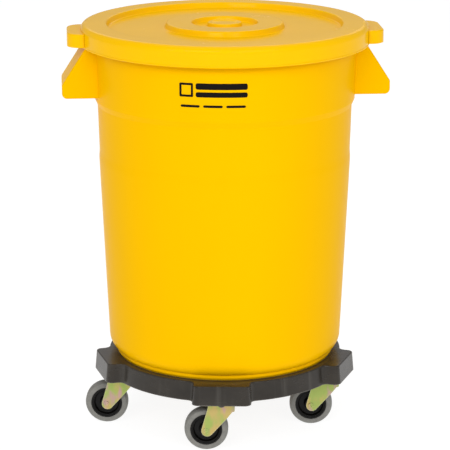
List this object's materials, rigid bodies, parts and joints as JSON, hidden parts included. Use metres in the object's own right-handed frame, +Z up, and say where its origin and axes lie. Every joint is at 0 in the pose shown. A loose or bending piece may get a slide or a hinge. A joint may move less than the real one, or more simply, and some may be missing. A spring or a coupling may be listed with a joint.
{
  "type": "drum dolly",
  "caption": "Round lidded waste container with two hooded side handles, standing on a moulded ring dolly whose pads each carry a swivel caster.",
  "frame": {"origin": "on the floor, under the vertical axis of the container and the dolly", "axes": "+Z up along the container's axis; -Y is the front, where caster 1 is; +X is to the right seen from the front"},
  "size_m": [0.5774, 0.5048, 0.7178],
  "materials": {
    "container_yellow": "satin moulded polyethylene",
    "lid_yellow": "satin moulded polyethylene",
    "dolly_black": "satin moulded structural foam",
    "zinc_yellow": "yellow passivated zinc",
    "bright_steel": "bright",
    "hub_black": "satin",
    "tread_grey": "matt non-marking rubber"
  },
  "bodies": {
    "dolly": {"dolly_frame": "dolly_black", "kingpin_1": "bright_steel", "kingpin_2": "bright_steel", "kingpin_3": "bright_steel", "kingpin_4": "bright_steel", "kingpin_5": "bright_steel", "upper_race_1": "zinc_yellow", "upper_race_2": "zinc_yellow", "upper_race_3": "zinc_yellow", "upper_race_4": "zinc_yellow", "upper_race_5": "zinc_yellow"},
    "swivel_1": {"fork_1": "zinc_yellow", "swivel_balls_1": "bright_steel", "axle_bolt_1": "zinc_yellow", "axle_nut_1": "zinc_yellow", "axle_sleeve_1": "bright_steel"},
    "wheel_1": {"wheel_hub_1": "hub_black", "wheel_tread_1": "tread_grey"},
    "swivel_2": {"fork_2": "zinc_yellow", "swivel_balls_2": "bright_steel", "axle_bolt_2": "zinc_yellow", "axle_nut_2": "zinc_yellow", "axle_sleeve_2": "bright_steel"},
    "wheel_2": {"wheel_hub_2": "hub_black", "wheel_tread_2": "tread_grey"},
    "swivel_3": {"fork_3": "zinc_yellow", "swivel_balls_3": "bright_steel", "axle_bolt_3": "zinc_yellow", "axle_nut_3": "zinc_yellow", "axle_sleeve_3": "bright_steel"},
    "wheel_3": {"wheel_hub_3": "hub_black", "wheel_tread_3": "tread_grey"},
    "swivel_4": {"fork_4": "zinc_yellow", "swivel_balls_4": "bright_steel", "axle_bolt_4": "zinc_yellow", "axle_nut_4": "zinc_yellow", "axle_sleeve_4": "bright_steel"},
    "wheel_4": {"wheel_hub_4": "hub_black", "wheel_tread_4": "tread_grey"},
    "swivel_5": {"fork_5": "zinc_yellow", "swivel_balls_5": "bright_steel", "axle_bolt_5": "zinc_yellow", "axle_nut_5": "zinc_yellow", "axle_sleeve_5": "bright_steel"},
    "wheel_5": {"wheel_hub_5": "hub_black", "wheel_tread_5": "tread_grey"},
    "container": {"container": "container_yellow"},
    "lid": {"lid": "lid_yellow"}
  },
  "joints": [
    {"name": "caster_swivel_1", "type": "hinge", "parent": "dolly", "child": "swivel_1", "pos_m": [0, -0.1925, 0.0913], "axis": [0, 0, 1], "continuous": true},
    {"name": "wheel_roll_1", "type": "hinge", "parent": "swivel_1", "child": "wheel_1", "pos_m": [-0.0271, -0.1925, 0.0381], "axis": [0, 1, 0], "continuous": true},
    {"name": "caster_swivel_2", "type": "hinge", "parent": "dolly", "child": "swivel_2", "pos_m": [0.18308, -0.05949, 0.0913], "axis": [0, 0, 1], "continuous": true},
    {"name": "wheel_roll_2", "type": "hinge", "parent": "swivel_2", "child": "wheel_2", "pos_m": [0.15598, -0.05949, 0.0381], "axis": [0, 1, 0], "continuous": true},
    {"name": "caster_swivel_3", "type": "hinge", "parent": "dolly", "child": "swivel_3", "pos_m": [0.11315, 0.15574, 0.0913], "axis": [0, 0, 1], "continuous": true},
    {"name": "wheel_roll_3", "type": "hinge", "parent": "swivel_3", "child": "wheel_3", "pos_m": [0.08605, 0.15574, 0.0381], "axis": [0, 1, 0], "continuous": true},
    {"name": "caster_swivel_4", "type": "hinge", "parent": "dolly", "child": "swivel_4", "pos_m": [-0.11315, 0.15574, 0.0913], "axis": [0, 0, 1], "continuous": true},
    {"name": "wheel_roll_4", "type": "hinge", "parent": "swivel_4", "child": "wheel_4", "pos_m": [-0.14025, 0.15574, 0.0381], "axis": [0, 1, 0], "continuous": true},
    {"name": "caster_swivel_5", "type": "hinge", "parent": "dolly", "child": "swivel_5", "pos_m": [-0.18308, -0.05949, 0.0913], "axis": [0, 0, 1], "continuous": true},
    {"name": "wheel_roll_5", "type": "hinge", "parent": "swivel_5", "child": "wheel_5", "pos_m": [-0.21018, -0.05949, 0.0381], "axis": [0, 1, 0], "continuous": true},
    {"name": "container_lift", "type": "slide", "parent": "dolly", "child": "container", "axis": [0, 0, 1], "range_m": [0, 0.15]},
    {"name": "lid_lift", "type": "slide", "parent": "container", "child": "lid", "axis": [0, 0, 1], "range_m": [0, 0.15]}
  ]
}
